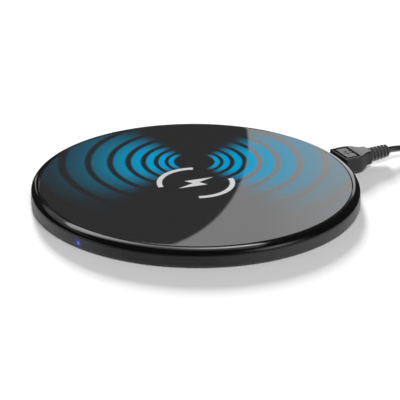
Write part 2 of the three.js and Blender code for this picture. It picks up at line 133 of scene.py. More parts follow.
@contextmanager
def editing(piece):
    """Edit mode on one piece, with nothing in it selected."""
    take(piece)
    bpy.ops.object.mode_set(mode="EDIT")
    bpy.ops.mesh.select_all(action="DESELECT")
    yield
    bpy.ops.object.mode_set(mode="OBJECT")


def pick_faces(piece, test):
    """In edit mode, selects just the faces whose middle and normal pass the test."""
    bpy.ops.mesh.select_all(action="DESELECT")
    bpy.ops.mesh.select_mode(type="FACE")
    shape = bmesh.from_edit_mesh(piece.data)
    for face in shape.faces:
        face.select_set(bool(test(face.calc_center_median(), face.normal)))
    bmesh.update_edit_mesh(piece.data)


def pick_edges(piece, test):
    """In edit mode, selects just the edges whose two ends pass the test."""
    bpy.ops.mesh.select_all(action="DESELECT")
    bpy.ops.mesh.select_mode(type="EDGE")
    shape = bmesh.from_edit_mesh(piece.data)
    for edge in shape.edges:
        edge.select_set(bool(test(edge.verts[0].co, edge.verts[1].co)))
    bmesh.update_edit_mesh(piece.data)


def named(name):
    piece = bpy.context.object
    piece.name = name
    piece.data.name = name
    return piece


def copy_of(piece, name):
    """A copy with its own mesh."""
    take(piece)
    bpy.ops.object.duplicate(linked=False)
    return named(name)


def place_in_mesh(piece):
    take(piece)
    bpy.ops.object.transform_apply(location=True, rotation=True, scale=True)


def smooth(piece, degrees=35):
    take(piece)
    bpy.ops.object.shade_smooth_by_angle(angle=math.radians(degrees))
    finish_with(piece, "WEIGHTED_NORMAL", keep_sharp=True)


def finish_with(piece, kind, **settings):
    """Adds one modifier and applies it."""
    take(piece)
    modifier = piece.modifiers.new(kind.title(), kind)
    for name, value in settings.items():
        setattr(modifier, name, value)
    bpy.ops.object.modifier_apply(modifier=modifier.name)


def round_edges(piece, width, segments=3, degrees=30):
    finish_with(
        piece, "BEVEL", width=width, segments=segments, limit_method="ANGLE",
        angle_limit=math.radians(degrees), use_clamp_overlap=True,
    )


def carve(piece, *tools):
    """Cuts each tool out of the piece and throws the tool away."""
    for tool in tools:
        finish_with(piece, "BOOLEAN", operation="DIFFERENCE", solver="EXACT", object=tool)
        bpy.data.objects.remove(tool)


def weld(piece, *parts):
    """Joins each part to the piece as one solid."""
    for part in parts:
        finish_with(piece, "BOOLEAN", operation="UNION", solver="EXACT", object=part)
        bpy.data.objects.remove(part)


def outlined(name, points):
    """Draws an outline one extrusion at a time, from the first point to the last."""
    bpy.ops.mesh.primitive_plane_add(size=MM)
    piece = named(name)
    with editing(piece):
        bpy.ops.mesh.select_all(action="SELECT")
        bpy.ops.mesh.merge(type="CENTER")
        bpy.ops.mesh.select_mode(type="VERT")
        bpy.ops.mesh.select_all(action="SELECT")
        bpy.ops.transform.translate(value=points[0])
        for here, there in zip(points, points[1:]):
            step = Vector(there) - Vector(here)
            bpy.ops.mesh.extrude_region_move(TRANSFORM_OT_translate={"value": step})
    return piece


def close_up(piece):
    """Merges doubled corners and turns every face outwards."""
    with editing(piece):
        bpy.ops.mesh.select_all(action="SELECT")
        bpy.ops.mesh.remove_doubles(threshold=0.002 * MM)
        bpy.ops.mesh.dissolve_degenerate(threshold=0.001 * MM)
        bpy.ops.mesh.normals_make_consistent(inside=False)


def raised(name, points, height):
    """A flat outline, filled and drawn upwards."""
    piece = outlined(name, points)
    with editing(piece):
        bpy.ops.mesh.select_all(action="SELECT")
        bpy.ops.mesh.edge_face_add()
        bpy.ops.mesh.extrude_region_move(TRANSFORM_OT_translate={"value": (0, 0, height)})
    close_up(piece)
    return piece


def turned(name, profile, steps=192, along="Z"):
    """A closed or axis-to-axis profile of (radius, distance along the axis), spun into a solid."""
    ring = profile[0][0] > 0
    if along == "Z":
        points = [(radius, 0, height) for radius, height in profile]
    else:
        points = [(radius, reach, 0) for radius, reach in profile]
    if ring:
        points.append(points[0])
    piece = outlined(name, points)
    axis = (0, 0, 1) if along == "Z" else (0, 1, 0)
    with editing(piece):
        bpy.ops.mesh.select_all(action="SELECT")
        bpy.ops.mesh.spin(steps=steps, angle=math.tau, center=(0, 0, 0), axis=axis)
    close_up(piece)
    return piece


def arc(centre, radius, start, end, steps=5):
    """Points of an arc in (radius, height), from start to end in degrees, as one list."""
    angles = [math.radians(start + (end - start) * i / steps) for i in range(steps + 1)]
    return [(centre[0] + radius * math.cos(a), centre[1] + radius * math.sin(a)) for a in angles]


def bezier(start, pull, end, steps):
    """Points of one quadratic curve."""
    points = []
    for i in range(steps + 1):
        t = i / steps
        points.append(tuple(
            (1 - t) ** 2 * a + 2 * t * (1 - t) * b + t * t * c for a, b, c in zip(start, pull, end)
        ))
    return points


def rod(radius, start, end, at=(0, 0), sides=32):
    """An upright cylinder between two heights."""
    bpy.ops.mesh.primitive_cylinder_add(
        vertices=sides, radius=radius, depth=end - start, location=(at[0], at[1], (start + end) / 2)
    )
    piece = bpy.context.object
    place_in_mesh(piece)
    return piece


def block(lowest, highest, name="block"):
    middle = (Vector(lowest) + Vector(highest)) / 2
    bpy.ops.mesh.primitive_cube_add(size=1, location=middle, scale=Vector(highest) - Vector(lowest))
    piece = named(name)
    place_in_mesh(piece)
    return piece


def on_circle(radius, angle):
    return radius * math.cos(angle), radius * math.sin(angle)


def turn_about_z(piece, angle, at=(0, 0, 0)):
    """Turns a finished piece about the Z axis, then moves it, all in its mesh."""
    piece.rotation_euler = (0, 0, angle)
    piece.location = at
    place_in_mesh(piece)


def rides(piece, body, slot, *nodes):
    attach(piece, body)
    if nodes:
        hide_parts(*nodes)


# ---------------------------------------------------------------- the lead, at its real length

CORD_RADIUS = 1 * MM
TURN_OUT = 15.2 * MM  # centre of the outermost turn
TURN_STEP = 2 * CORD_RADIUS
TURNS_PER_LAYER = 4
WINDING_CENTRE = Vector((17.2, 88, 0)) * MM
WINDING_START = math.radians(172)
WINDING_END = math.radians(150)
WHOLE_TURNS = 15
POINTS_PER_TURN = 16
STRAP_TURN = math.radians(-40)
CROSSING = 0.72  # where in each turn the cord starts to move over to the next one
LEAD_ROUTE = [
    (0, 66.2, 3.27), (0, 68.3, 3.37), (0, 71.4, 3.3), (0.05, 74.5, 2.85), (0.15, 77, 2.15),
    (0.35, 79.5, 1.5), (0.7, 82.1, 1.12),
]
TAIL_ROUTE = [
    (8.1, 103.1, 5.7), (10.6, 107, 4.4), (13.7, 110.7, 3.1), (17.8, 113.9, 2), (22.7, 116, 1.3),
    (28, 116.6, 1), (33.2, 115.9, 1), (38.1, 113.9, 1.4), (42.2, 111.5, 2.5), (45.7, 109.5, 3.55),
    (48.5, 108, 3.93), (50.4, 106.95, 3.95), (51.3, 106.46, 3.95),
]
SLEEVE_TILT = math.radians(3.2)  # the small plug's sleeve rises a little towards the cord
SLEEVE_Z = PORT_Z + 0.12 * MM


def turn_slot(index):
    """Radius and height of one turn. The turns go inwards on even layers and outwards on odd ones."""
    layer, column = divmod(index, TURNS_PER_LAYER)
    if layer % 2:
        column = TURNS_PER_LAYER - 1 - column
    return TURN_OUT - column * TURN_STEP, CORD_RADIUS + layer * TURN_STEP


def winding_point(turns):
    """A point of the wound lead, this many turns from where it starts, clockwise from above."""
    index = int(turns)
    part = max(0.0, (turns - index - CROSSING) / (1 - CROSSING))
    ease = part * part * (3 - 2 * part)
    here, there = turn_slot(index), turn_slot(index + 1)
    radius = here[0] + (there[0] - here[0]) * ease
    height = here[1] + (there[1] - here[1]) * ease
    angle = WINDING_START - math.tau * turns
    return WINDING_CENTRE + Vector((*on_circle(radius, angle), height))


def lead_points():
    turns = WHOLE_TURNS + (WINDING_START - WINDING_END) / math.tau
    count = round(turns * POINTS_PER_TURN)
    wound = [winding_point(turns * i / count) for i in range(count + 1)]
    return [Vector(p) * MM for p in LEAD_ROUTE] + wound + [Vector(p) * MM for p in TAIL_ROUTE]


def cord_curve(name, points, radius, resolution=4, sides=4):
    data = bpy.data.curves.new(name, "CURVE")
    data.dimensions = "3D"
    data.bevel_depth = 1
    data.bevel_resolution = sides
    data.resolution_u = resolution
    data.use_fill_caps = True
    spline = data.splines.new("BEZIER")
    spline.bezier_points.add(len(points) - 1)
    for knot, point in zip(spline.bezier_points, points):
        knot.co = point
        knot.radius = radius
        knot.handle_left_type = knot.handle_right_type = "AUTO"
    piece = bpy.data.objects.new(name, data)
    bpy.context.collection.objects.link(piece)
    return piece


lead = cord_curve("lead", lead_points(), CORD_RADIUS)
rides(lead, "lead", "jacket", "lead_near", "lead_winding", "lead_far")

# ---------------------------------------------------------------- pieces of the pad

BOSS_RADIUS = 2.2 * MM
SCREW_HOLE = 1 * MM
POST_RING, POST_TURN = 38.5 * MM, math.radians(15)  # the circuit board's posts
LIGHT_HOLE = 0.63 * MM


def base_tray():
    """The matt tray: a round-edged dish with pockets for the feet and screws."""
    wall, thick, edge, lip = 1.8 * MM, 1 * MM, 0.12 * MM, 0.1 * MM
    inside = PAD_RADIUS - wall
    floor = TRAY_UNDER + thick
    profile = [(0, TRAY_UNDER)]
    profile += arc((PAD_RADIUS - edge, TRAY_UNDER + edge), edge, -90, 0, 6)
    profile += arc((PAD_RADIUS - lip, TRAY_TOP - lip), lip, 0, 90, 3)
    profile += [(inside, TRAY_TOP), (inside, floor), (0, floor)]
    tray = turned("base_tray_shell", profile)
    root = floor - 0.1 * MM  # the posts start a little inside the floor
    for angle in CORNERS:
        at = on_circle(CORNER_RING, angle)
        post_at = on_circle(POST_RING, angle + POST_TURN)
        boss = rod(BOSS_RADIUS, root, 2.1 * MM, at)
        board_post = rod(1.6 * MM, root, 2.08 * MM, post_at)
        board_pin = rod(0.8 * MM, floor, 3.3 * MM, post_at, 16)
        weld(tray, boss, board_post, board_pin)
        foot_pocket = rod(4.5 * MM, 0, 1 * MM, at, 64)
        head_pocket = rod(1.9 * MM, 0.5 * MM, 1.5 * MM, at)
        screw_hole = rod(SCREW_HOLE, 0.5 * MM, 3 * MM, at)
        carve(tray, foot_pocket, head_pocket, screw_hole)
    port = block((-PORT_HALF, PORT_BACK, 1.5 * MM), (PORT_HALF, PAST_THE_RIM, 6 * MM))
    light_hole = rod(LIGHT_HOLE, 44 * MM, PAST_THE_RIM, sides=40)
    light_hole.rotation_euler = (0, math.pi / 2, LIGHT_ANGLE)
    light_hole.location = (0, 0, LIGHT_Z)
    place_in_mesh(light_hole)
    carve(tray, port, light_hole)
    smooth(tray)
    rides(tray, "pad", "matt_shell", "base_tray")
    return tray


def shoulder_ring():
    """The polished shoulder, with the recess, ledge and skirt that it has underneath."""
    under = TRAY_TOP + 0.15 * MM
    recess = PLATE_RADIUS + 0.25 * MM
    ledge = PLATE_UNDER - 0.25 * MM
    ledge_under = ledge - 0.6 * MM
    ledge_in, skirt_in, skirt_out = 43.5 * MM, 47 * MM, 48 * MM
    corner, crest = 0.1 * MM, 0.1 * MM
    pull = 0.35 * MM  # how far inside the square corner the shoulder's curve is drawn
    profile = [(skirt_out, under)]
    profile += arc((PAD_RADIUS - corner, under + corner), corner, -90, 0, 3)
    profile += bezier(
        (PAD_RADIUS, under + 2 * corner), (PAD_RADIUS - pull, PLATE_TOP - pull),
        (recess + 1.2 * crest, SHOULDER_TOP), 14,
    )
    profile += arc((recess + crest, SHOULDER_TOP - crest), crest, 90, 180, 3)
    profile += [
        (recess, ledge), (ledge_in, ledge), (ledge_in, ledge_under), (skirt_in, ledge_under),
        (skirt_in, SKIRT_UNDER), (skirt_out, SKIRT_UNDER),
    ]
    ring = turned("gloss_shoulder", profile, 256)
    for angle in CORNERS:
        at = on_circle(CORNER_RING, angle)
        weld(ring, rod(BOSS_RADIUS, SKIRT_UNDER + 0.02 * MM, ledge - 0.3 * MM, at))
        carve(ring, rod(SCREW_HOLE, SKIRT_UNDER - MM, ledge - 0.45 * MM, at))
    port = block((-PORT_HALF, PORT_BACK, 1 * MM), (PORT_HALF, PAST_THE_RIM, 4.2 * MM))
    carve(ring, port)
    smooth(ring, 40)
    rides(ring, "pad", "gloss_shoulder", "shoulder_ring")
    return ring


def charging_plate():
    edge, border = 0.035 * MM, 0.8 * MM  # the border keeps the flat top's shading flat
    profile = [(0, PLATE_UNDER), (PLATE_RADIUS, PLATE_UNDER)]
    profile += arc((PLATE_RADIUS - edge, PLATE_TOP - edge), edge, 0, 90, 4)
    profile += [(PLATE_RADIUS - border, PLATE_TOP), (0, PLATE_TOP)]
    plate = turned("charging_plate", profile, 256)
    smooth(plate, 25)
    rides(plate, "pad", "gloss_plate", "top_plate")
    return plate


def foot_pads():
    """Soft feet with a raised rim and a shallow dished middle."""
    radius, top, edge, dish = 4.2 * MM, 0.95 * MM, 0.35 * MM, 0.12 * MM
    profile = [(0, dish), (2.9 * MM, dish), (3.05 * MM, 0), (3.7 * MM, 0)]
    profile += arc((radius - edge, edge), edge, -90, 0, 4)
    profile += [(radius, top), (0, top)]
    first = turned("rubber_foot_1", profile, 64)
    made = [first, *(copy_of(first, f"rubber_foot_{number}") for number in (2, 3, 4))]
    for number, (foot, angle) in enumerate(zip(made, CORNERS), 1):
        turn_about_z(foot, 0, (*on_circle(CORNER_RING, angle), 0))
        smooth(foot)
        rides(foot, "pad", "foot_rubber", f"foot_{number}")
    return made


# ---------------------------------------------------------------- the printed mark

MARK_RADIUS = 11.1 * MM
MARK_STROKE = 1.6 * MM
MARK_THICK = 0.02 * MM
MARK_SPAN = math.radians(104)
MARK_TURN = math.radians(28)
BOLT = [(1.9, 6.6), (-3.6, -0.9), (-0.5, -0.9), (-1.9, -6.6), (3.6, 0.9), (0.5, 0.9)]


def charge_mark():
    """A plain bolt inside a ring that is open at its top and bottom."""
    bolt = raised("mark_bolt", [(x * MM, y * MM, PLATE_TOP) for x, y in BOLT], MARK_THICK)
    turn_about_z(bolt, MARK_TURN)
    inner, outer = MARK_RADIUS - MARK_STROKE / 2, MARK_RADIUS + MARK_STROKE / 2
    top = PLATE_TOP + MARK_THICK
    section = [(inner, 0, PLATE_TOP), (outer, 0, PLATE_TOP), (outer, 0, top), (inner, 0, top)]
    right = outlined("mark_arc_right", section)
    with editing(right):
        bpy.ops.mesh.select_all(action="SELECT")
        bpy.ops.mesh.edge_face_add()
        bpy.ops.mesh.select_all(action="SELECT")
        bpy.ops.mesh.spin(steps=40, angle=MARK_SPAN, center=(0, 0, 0), axis=(0, 0, 1))
    close_up(right)
    left = copy_of(right, "mark_arc_left")
    turn_about_z(right, MARK_TURN + MARK_SPAN / 2)
    turn_about_z(left, MARK_TURN + MARK_SPAN / 2 + math.pi)
    for piece in (bolt, right, left):
        rides(piece, "pad", "gloss_plate")
    return bolt, right, left


# ---------------------------------------------------------------- plugs

LARGE_PLUG_TURN = math.radians(-118.5)
LARGE_PLUG_AT = Vector((50.66, 106.81, 3.95)) * MM  # the end of its sleeve, on its axis


def draw_waist(grip, side, reach, sections, shrink_to=0.0):
    """Draws one end of a grip out along Y, on side 1 or -1, from where the end is.

    Each section is how far along it is in millimetres, and its width and height as shares of the
    end's. The height shrinks towards one level.
    """
    with editing(grip):
        pick_faces(grip, lambda middle, normal: side * normal.y > 0.9)
        wide, tall = 1.0, 1.0
        for y, across, up in sections:
            bpy.ops.mesh.extrude_region_move(TRANSFORM_OT_translate={"value": (0, y * MM - reach, 0)})
            bpy.ops.transform.resize(
                value=(across / wide, 1, up / tall), center_override=(0, y * MM, shrink_to)
            )
            wide, tall, reach = across, up, y * MM


def micro_grip():
    """The small plug's moulded grip: a rounded block, then a waist that runs into the sleeve."""
    nose_end = 55 * MM
    underside = GRIP_LOW.z + 0.35 * MM
    grip = block((GRIP_LOW.x, GRIP_LOW.y, underside), (GRIP_HIGH.x, nose_end, GRIP_HIGH.z), "micro_grip")
    waist = [(56.4, 0.93, 1), (57.4, 0.8, 1), (58.4, 0.64, 0.98), (59.6, 0.52, 0.93),
             (GRIP_HIGH.y / MM, 0.471, 0.89)]
    # it shrinks towards a level above the port's middle, so its top falls less than its underside rises
    draw_waist(grip, 1, nose_end, waist, PORT_Z + 1 * MM)
    round_edges(grip, 0.4 * MM, 3, 40)
    return grip


def frame_groove(wide, start, end, top, deep, bar):
    """A cutter for a square groove round a panel."""
    cutter = block((-wide / 2, start, top - deep), (wide / 2, end, top + MM), "groove")
    inner_low = (-wide / 2 + bar, start + bar, top - 2 * deep)
    inner = block(inner_low, (wide / 2 - bar, end - bar, top + 2 * MM))
    carve(cutter, inner)
    return cutter


def chevron_cutters(count, centre, size, top, deep):
    """Cutters for arrowheads that point the way the plug goes in."""
    half, slope, bar, spacing = size / 2, size * 0.38, size * 0.24, size * 0.62
    outline = [(-half, slope), (-half, slope + bar), (0, bar), (half, slope + bar), (half, slope), (0, 0)]
    first = raised("arrow_1", [(x, y, top - deep) for x, y in outline], deep + 0.5 * MM)
    made = [first, *(copy_of(first, f"arrow_{number}") for number in range(2, count + 1))]
    for i, arrow in enumerate(made):
        turn_about_z(arrow, 0, (0, centre + (i - (count - 1) / 2) * spacing, 0))
    return made


def ribbed_sleeve(name, start, end, wide, narrow, ribs, steps=48):
    """A tapered sleeve with rounded ribs and slots between them, round about Y."""
    pitch = (end - start) / (ribs + 0.5)

    def radius_at(y):
        return wide + (narrow - wide) * (y - start) / (end - start)

    profile = [(0, start)]
    for i in range(ribs):
        y = start + i * pitch
        crown, deep, soft = radius_at(y), radius_at(y) * 0.58, pitch * 0.1
        rib_end = y + pitch * 0.5
        profile += [(crown - soft, y), (crown, y + soft), (crown, rib_end - soft), (crown - soft, rib_end)]
        profile += [(deep + soft, rib_end), (deep, rib_end + soft), (deep, y + pitch - soft),
                    (deep + soft, y + pitch)]
    last = start + ribs * pitch
    chamfer, tip = 0.1 * MM, 0.5 * MM
    profile += [(narrow - chamfer, last), (narrow, last + chamfer), (narrow, end - tip),
                (narrow - 2 * chamfer, end - 2 * chamfer), (narrow - tip, end), (0, end)]
    sleeve = turned(name, profile, steps, "Y")
    smooth(sleeve, 50)
    return sleeve


def small_plug():
    grip = micro_grip()
    top = GRIP_HIGH.z
    groove = frame_groove(8.8 * MM, GRIP_LOW.y + 0.4 * MM, 56 * MM, top, 0.9 * MM, 0.85 * MM)
    arrows = chevron_cutters(2, 53.2 * MM, 2.6 * MM, top, 0.2 * MM)
    half_wide, half_tall, deep = 3.4 * MM, 0.9 * MM, 1.7 * MM  # the mouth that holds the metal shell
    mouth = block(
        (-half_wide, GRIP_LOW.y - MM, PORT_Z - half_tall),
        (half_wide, GRIP_LOW.y + deep, PORT_Z + half_tall),
    )
    carve(grip, groove, *arrows, mouth)
    smooth(grip, 30)
    rides(grip, "lead", "plug_grip", "micro_plug_grip")
    relief_low, relief_high = low("micro_strain_relief"), high("micro_strain_relief")
    start = relief_low.y
    sleeve = ribbed_sleeve("micro_sleeve", start, relief_high.y, relief_high.x, 2 * MM, 5)
    # it turns about its start, not about the pad's middle
    back, down = start * (1 - math.cos(SLEEVE_TILT)), start * math.sin(SLEEVE_TILT)
    sleeve.rotation_euler = (SLEEVE_TILT, 0, 0)
    sleeve.location = (0, back, SLEEVE_Z - down)
    place_in_mesh(sleeve)
    rides(sleeve, "lead", "jacket", "micro_strain_relief")
    return grip, sleeve


def large_plug_place(piece):
    """Moves a piece drawn along +Y from the origin to where the large plug lies."""
    turn_about_z(piece, LARGE_PLUG_TURN, LARGE_PLUG_AT)


def large_plug():
    start, long, wide, tall = 9.02 * MM, 23.98 * MM, 15.6 * MM, 7.8 * MM
    shoulder = start + 8 * MM
    grip = block((-wide / 2, shoulder, -tall / 2), (wide / 2, start + long, tall / 2), "usb_grip")
    waist = [(15.2, 0.97, 1), (13.6, 0.88, 0.995), (12.2, 0.74, 0.985), (10.8, 0.56, 0.94),
             (start / MM, 0.46, 0.85)]
    draw_waist(grip, -1, shoulder, waist)
    round_edges(grip, 1.1 * MM, 5, 40)
    half_wide, half_tall, mouth_from = 6.05 * MM, 2.3 * MM, 29.9 * MM
    mouth = block((-half_wide, mouth_from, -half_tall), (half_wide, 34 * MM, half_tall))
    carve(grip, mouth)
    arrows = chevron_cutters(2, 0, 3.4 * MM, tall / 2, 0.25 * MM)
    for arrow in arrows:
        # this plug goes in along +Y, so its arrows turn round
        turn_about_z(arrow, math.pi, (0, 25.5 * MM, 0))
    groove = frame_groove(11.6 * MM, 19.5 * MM, 31.5 * MM, tall / 2, 0.4 * MM, 0.6 * MM)
    carve(grip, groove, *arrows)
    smooth(grip, 30)
    sleeve = ribbed_sleeve("usb_sleeve", 0, 9 * MM, 2.4 * MM, 3.3 * MM, 5)
    large_plug_place(grip)
    large_plug_place(sleeve)
    rides(grip, "lead", "plug_grip", "usb_plug_grip")
    rides(sleeve, "lead", "jacket", "usb_strain_relief")
    return grip, sleeve


def strap():
    """The flat strap that holds the winding, one closed loop round its section."""
    inner = TURN_OUT - TURNS_PER_LAYER * TURN_STEP + 0.1 * MM
    outer = TURN_OUT + CORD_RADIUS + 0.5 * MM
    half_wide, thick, soft = 2 * MM, 0.42 * MM, 0.35 * MM
    piece = block((inner, -half_wide, 0.05 * MM), (outer, half_wide, high("lead_tie").z), "winding_strap")
    with editing(piece):
        pick_faces(piece, lambda middle, normal: abs(normal.y) > 0.9)
        bpy.ops.mesh.inset(thickness=thick, use_individual=True)
        bpy.ops.mesh.bridge_edge_loops()
    close_up(piece)

    def runs_along(a, b):
        return abs(a.y - b.y) > 1.5 * half_wide

    with editing(piece):
        pick_edges(piece, lambda a, b: runs_along(a, b) and a.x < inner + soft / 3)
        bpy.ops.mesh.bevel(offset=soft, segments=3)
        pick_edges(piece, lambda a, b: runs_along(a, b) and a.x > outer - soft / 3)
        bpy.ops.mesh.bevel(offset=soft, segments=3)
    turn_about_z(piece, STRAP_TURN, WINDING_CENTRE)
    smooth(piece)
    rides(piece, "lead", "strap", "lead_tie")
    return piece


tray = base_tray()
ring = shoulder_ring()
plate = charging_plate()
feet = foot_pads()
marks = charge_mark()
small_grip, small_sleeve = small_plug()
large_grip, large_sleeve = large_plug()
tie = strap()

# ---------------------------------------------------------------- materials


class Value:
    """A number socket. An expression on values adds its Math nodes."""

    def __init__(self, nodes, socket):
        self.nodes = nodes
        self.socket = socket

    def _with(self, operation, first, second=None):
        inputs = {0: first} if second is None else {0: first, 1: second}
        made = self.nodes.node("ShaderNodeMath", {"operation": operation}, inputs)
        return Value(self.nodes, made.outputs[0])

    def __add__(self, other):
        return self._with("ADD", self, other)

    def __sub__(self, other):
        return self._with("SUBTRACT", self, other)

    def __rsub__(self, other):
        return self._with("SUBTRACT", other, self)

    def __mul__(self, other):
        return self._with("MULTIPLY", self, other)

    def __truediv__(self, other):
        return self._with("DIVIDE", self, other)

    def __rtruediv__(self, other):
        return self._with("DIVIDE", other, self)

    def __pow__(self, other):
        return self._with("POWER", self, other)

    def __abs__(self):
        return self._with("ABSOLUTE", self)

    __radd__ = __add__
    __rmul__ = __mul__

    def log(self):
        return self._with("LOGARITHM", self, math.e)

    def part(self):
        return self._with("FRACT", self)

    def at_least(self, lowest):
        return self._with("MAXIMUM", self, lowest)

    def capped(self):
        """Held between 0 and 1."""
        return self._with("MINIMUM", self.at_least(0.0), 1.0)

    def past(self, edge, soft):
        """0 below the edge and 1 above it, with a soft step this wide."""
        step = ((self - (edge - soft / 2)) / soft).capped()
        return step * step * (3 - 2 * step)

    def before(self, edge, soft):
        return 1 - self.past(edge, soft)

    def between(self, first, last, soft):
        return self.past(first, soft) * self.before(last, soft)


class Nodes:
    """A node tree, filled from code."""

    def __init__(self, tree):
        self.tree = tree

    def node(self, kind, settings, inputs):
        """Adds a node: its settings are set first, then its sockets are given values or links."""
        made = self.tree.nodes.new(kind)
        for name, value in settings.items():
            setattr(made, name, value)
        for key, value in inputs.items():
            self.give(made.inputs[key], value)
        return made

    def give(self, socket, value):
        if isinstance(value, Value):
            value = value.socket
        if isinstance(value, bpy.types.NodeSocket):
            self.tree.links.new(value, socket)
        else:
            socket.default_value = value

    def place(self, kind="Object"):
        return self.node("ShaderNodeTexCoord", {}, {}).outputs[kind]

    def axes(self, kind="Object"):
        apart = self.node("ShaderNodeSeparateXYZ", {}, {0: self.place(kind)})
        return [Value(self, socket) for socket in apart.outputs]

    def noise(self, scale, detail=2.0, roughness=0.5, stretch=None):
        where = self.place()
        if stretch:
            where = self.node("ShaderNodeMapping", {}, {"Vector": where, "Scale": stretch}).outputs[0]
        inputs = {"Vector": where, "Scale": scale, "Detail": detail, "Roughness": roughness}
        return Value(self, self.node("ShaderNodeTexNoise", {}, inputs).outputs[0])

    def cells(self, scale):
        inputs = {"Vector": self.place(), "Scale": scale}
        return Value(self, self.node("ShaderNodeTexVoronoi", {}, inputs).outputs["Distance"])

    def blend(self, amount, first, second):
        """A colour between two colours."""
        settings = {"data_type": "RGBA", "blend_type": "MIX"}
        inputs = {"Factor": amount, 6: first, 7: second}
        return self.node("ShaderNodeMix", settings, inputs).outputs[2]


class Finish(Nodes):
    """One material: a Principled shader and the nodes that feed it."""

    def __init__(self, name, **constants):
        self.material = bpy.data.materials.new(name)
        self.material.use_nodes = True
        super().__init__(self.material.node_tree)
        self.shader = self.tree.nodes["Principled BSDF"]
        for socket, value in constants.items():
            self.shader.inputs[socket.replace("_", " ")].default_value = value

    def feed(self, name, value):
        self.give(self.shader.inputs[name], value)

    def shade(self, amount, first, second):
        """Colours the surface between two colours."""
        self.feed("Base Color", self.blend(amount, color(*first), color(*second)))

    def relief(self, height, depth, strength=1.0):
        inputs = {"Height": height, "Distance": depth, "Strength": strength}
        self.feed("Normal", self.node("ShaderNodeBump", {}, inputs).outputs[0])

    def cover(self, amount, over):
        """Lays a second shader over the first one, as far as the amount says."""
        inputs = {0: amount, 1: self.shader.outputs[0], 2: over.outputs[0]}
        mixed = self.node("ShaderNodeMixShader", {}, inputs)
        self.give(self.tree.nodes["Material Output"].inputs["Surface"], mixed.outputs[0])


def color(red, green, blue):
    return (red, green, blue, 1.0)


RINGS_AT = (-14.8, 7.5)  # middle of the printed rings, in millimetres
RINGS_ALONG = (math.cos(VIEW_AZIMUTH), math.sin(VIEW_AZIMUTH))
RINGS_FIRST = 8.5  # radius of the first dark gap
PITCH_START, PITCH_GROWTH = 1.4, 0.183  # width of one ring and gap, at the middle and per millimetre
GAP_INNER, GAP_OUTER = 0.44, 0.28  # share of each pitch that stays dark, near the middle and far out
GAP_FROM, GAP_OVER = 12, 18  # the share changes from this radius, over this distance
GAP_SOFT = 0.16
RINGS_START = 5.6
RINGS_FADE_LEFT = 26  # radius where the rings are down to half, on the left
RINGS_FADE_RIGHT = 33
FAN_EDGE, FAN_SOFT = 0.74, 0.46  # the fans end where this share of the radius runs sideways


def printed_plate():
    """Polished black with blue rings printed on it, in two fans that fade outwards."""
    look = Finish("printed plate", IOR=1.5)
    x, y, _ = look.axes()
    x, y = x * 1000 - RINGS_AT[0], y * 1000 - RINGS_AT[1]
    radius = (x * x + y * y) ** 0.5
    count = (1 + radius * (PITCH_GROWTH / PITCH_START)).log() * (1 / PITCH_GROWTH)
    first = math.log(1 + RINGS_FIRST * PITCH_GROWTH / PITCH_START) / PITCH_GROWTH
    from_gap = 0.5 - abs((count - first).part() - 0.5)  # 0 in a gap's middle, 0.5 in a ring's
    outward = ((radius - GAP_FROM) / GAP_OVER).capped()
    gap = GAP_INNER + outward * (GAP_OUTER - GAP_INNER)
    ring = (from_gap - gap / 2).past(0, GAP_SOFT)
    rightward = (x * RINGS_ALONG[0] + y * RINGS_ALONG[1]) / (radius + 0.01)
    fan = abs(rightward).past(FAN_EDGE, FAN_SOFT)
    near = ((radius - RINGS_START) * 1.6).capped()
    fade = RINGS_FADE_LEFT + rightward.past(0, 0.5) * (RINGS_FADE_RIGHT - RINGS_FADE_LEFT)
    far = (1.05 / (1 + (radius / fade) ** 4) - 0.06).capped()
    ink = ring * fan * near * far
    look.shade(look.noise(900, 3), (0.0185, 0.0185, 0.019), (0.021, 0.021, 0.0215))
    look.feed("Roughness", look.noise(60, 4) * 0.01 + 0.006)
    blue = look.blend((radius * 0.03 - 0.3).capped(), color(0, 0.24, 0.44), color(0, 0.27, 0.42))
    matt = {"Base Color": blue, "Roughness": 0.9, "Specular IOR Level": 0.0}
    look.cover(ink, look.node("ShaderNodeBsdfPrincipled", {}, matt))
    return look.material


def piano_black():
    look = Finish("piano black", IOR=1.5)
    look.shade(look.noise(400, 3), (0.002, 0.002, 0.002), (0.004, 0.004, 0.0045))
    look.feed("Roughness", look.noise(180, 4) * 0.05 + 0.05)
    return look.material


PAINTED_GLOW_FROM, PAINTED_GLOW_OVER = 0.5 * MM, 1.6 * MM  # the status light's painted glow on the wall round it


def spark_texture():
    """Matt black moulded plastic with a fine eroded grain, and the status light's blue glow painted on the
    wall round it.
    """
    look = Finish("spark texture", IOR=1.5, Emission_Strength=1.0)
    grain = look.noise(4200, 3, 0.6)
    broad = look.noise(260, 3)
    look.shade(broad, (0.02, 0.02, 0.021), (0.034, 0.034, 0.035))
    look.feed("Roughness", grain * 0.15 + 0.4)
    look.relief(grain, 0.03 * MM, 0.6)
    x, y, z = look.axes()
    light_x, light_y = on_circle(PAD_RADIUS, LIGHT_ANGLE)
    from_light = ((x - light_x) ** 2 + (y - light_y) ** 2 + (z - LIGHT_Z) ** 2) ** 0.5
    # painted glow: the status light's blue light on the wall round it, drawn as emission of the shell
    painted_glow = (1 - (from_light - PAINTED_GLOW_FROM) / PAINTED_GLOW_OVER).capped()
    look.feed("Emission Color", look.blend(painted_glow * painted_glow, color(0, 0, 0), color(0.02, 0.02, 0.2)))
    return look.material


def satin_moulding(name, polished_above):
    """Moulded grip: polished on top, textured on its sides."""
    look = Finish(name, IOR=1.5)
    grain = look.noise(5200, 2, 0.5)
    look.shade(look.noise(350, 3), (0.02, 0.02, 0.021), (0.032, 0.032, 0.034))
    _, _, z = look.axes()
    side = z.before(polished_above, 0.4 * MM)
    look.feed("Roughness", grain * 0.1 + side * 0.35 + 0.2)
    look.relief(grain, 0.02 * MM, 0.35)
    return look.material


